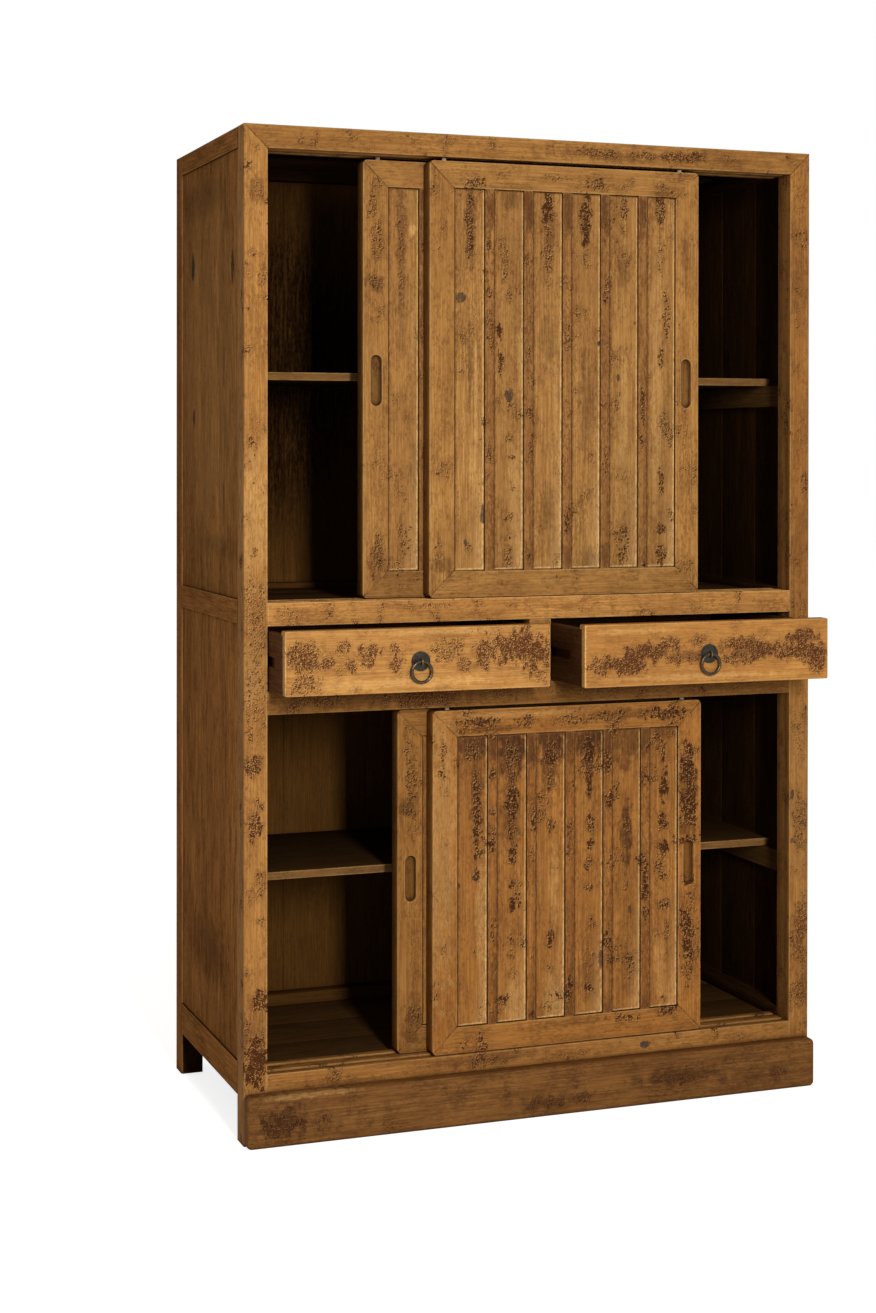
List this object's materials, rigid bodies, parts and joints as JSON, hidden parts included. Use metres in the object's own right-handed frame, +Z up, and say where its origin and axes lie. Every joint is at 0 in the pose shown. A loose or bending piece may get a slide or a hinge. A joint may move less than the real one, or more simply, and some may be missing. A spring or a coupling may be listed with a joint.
{
  "type": "kitchen cabinet",
  "caption": "Tall wooden kitchen cabinet with sliding board doors over and under a row of drawers, shelves inside, a plinth board and ring pulls.",
  "frame": {"origin": "on the floor, at the middle of the box that holds the cabinet with its doors and drawers as they stand, partly open", "axes": "+X to the right as seen from the front, -Y out of the front, +Z up"},
  "size_m": [1.06, 0.6372, 1.69],
  "materials": {
    "carcass_wood": "worn satin",
    "side_wood": "worn satin",
    "door_frame_wood": "worn satin",
    "door_board_wood": "worn satin",
    "muntin_wood": "worn satin",
    "interior_wood": "matte",
    "drawer_inner_wood": "matte",
    "pin_wood": "matte",
    "ring_iron": "dark bronzed",
    "plate_iron": "dark patina"
  },
  "bodies": {
    "carcass": {"back_boards": "interior_wood", "back_bottom_rail": "carcass_wood", "back_middle_rail": "carcass_wood", "back_post_left": "carcass_wood", "back_post_right": "carcass_wood", "back_top_rail": "carcass_wood", "bottom_front_rail": "carcass_wood", "drawer_divider": "carcass_wood", "drawer_dust_boards": "interior_wood", "drawer_guides": "interior_wood", "drawer_runners": "interior_wood", "drawer_sill_rail": "carcass_wood", "front_post_left": "carcass_wood", "front_post_right": "carcass_wood", "left_side_boards": "side_wood", "lower_floor_boards": "interior_wood", "lower_shelf": "interior_wood", "plinth_board": "carcass_wood", "right_side_boards": "side_wood", "shelf_and_dust_board_cleats": "interior_wood", "side_bottom_rails": "side_wood", "side_middle_rails": "side_wood", "side_top_rails": "side_wood", "top_boards": "interior_wood", "top_front_rail": "carcass_wood", "upper_floor_boards": "interior_wood", "upper_shelf": "interior_wood", "upper_sill_rail": "carcass_wood"},
    "upper_front_door": {"upper_front_door_boards": "door_board_wood", "upper_front_door_guide_pins": "pin_wood", "upper_front_door_muntins": "muntin_wood", "upper_front_door_rails": "door_frame_wood", "upper_front_door_stiles": "door_frame_wood"},
    "upper_rear_door": {"upper_rear_door_boards": "door_board_wood", "upper_rear_door_guide_pins": "pin_wood", "upper_rear_door_muntins": "muntin_wood", "upper_rear_door_rails": "door_frame_wood", "upper_rear_door_stiles": "door_frame_wood"},
    "lower_front_door": {"lower_front_door_boards": "door_board_wood", "lower_front_door_guide_pins": "pin_wood", "lower_front_door_muntins": "muntin_wood", "lower_front_door_rails": "door_frame_wood", "lower_front_door_stiles": "door_frame_wood"},
    "lower_rear_door": {"lower_rear_door_boards": "door_board_wood", "lower_rear_door_guide_pins": "pin_wood", "lower_rear_door_muntins": "muntin_wood", "lower_rear_door_rails": "door_frame_wood", "lower_rear_door_stiles": "door_frame_wood"},
    "left_drawer": {"left_drawer_back": "drawer_inner_wood", "left_drawer_bottom": "drawer_inner_wood", "left_drawer_front": "door_frame_wood", "left_drawer_pull_plate": "plate_iron", "left_drawer_sides": "drawer_inner_wood"},
    "left_ring": {"left_drawer_pull_ring": "ring_iron"},
    "right_drawer": {"right_drawer_back": "drawer_inner_wood", "right_drawer_bottom": "drawer_inner_wood", "right_drawer_front": "door_frame_wood", "right_drawer_pull_plate": "plate_iron", "right_drawer_sides": "drawer_inner_wood"},
    "right_ring": {"right_drawer_pull_ring": "ring_iron"}
  },
  "joints": [
    {"name": "upper_front_door_slide", "type": "slide", "parent": "carcass", "child": "upper_front_door", "axis": [1, 0, 0], "range_m": [-0.287, 0.183]},
    {"name": "upper_rear_door_slide", "type": "slide", "parent": "carcass", "child": "upper_rear_door", "axis": [1, 0, 0], "range_m": [-0.1785, 0.2915]},
    {"name": "lower_front_door_slide", "type": "slide", "parent": "carcass", "child": "lower_front_door", "axis": [1, 0, 0], "range_m": [-0.2935, 0.1765]},
    {"name": "lower_rear_door_slide", "type": "slide", "parent": "carcass", "child": "lower_rear_door", "axis": [1, 0, 0], "range_m": [-0.2415, 0.2285]},
    {"name": "left_drawer_slide", "type": "slide", "parent": "carcass", "child": "left_drawer", "axis": [0, -1, 0], "range_m": [-0.098, 0.232]},
    {"name": "left_ring_swing", "type": "hinge", "parent": "left_drawer", "child": "left_ring", "pos_m": [-0.255, -0.2694, 0.803], "axis": [-1, 0, 0], "range_deg": [0, 160]},
    {"name": "right_drawer_slide", "type": "slide", "parent": "carcass", "child": "right_drawer", "axis": [0, -1, 0], "range_m": [-0.141, 0.189]},
    {"name": "right_ring_swing", "type": "hinge", "parent": "right_drawer", "child": "right_ring", "pos_m": [0.255, -0.3124, 0.803], "axis": [-1, 0, 0], "range_deg": [0, 160]}
  ]
}
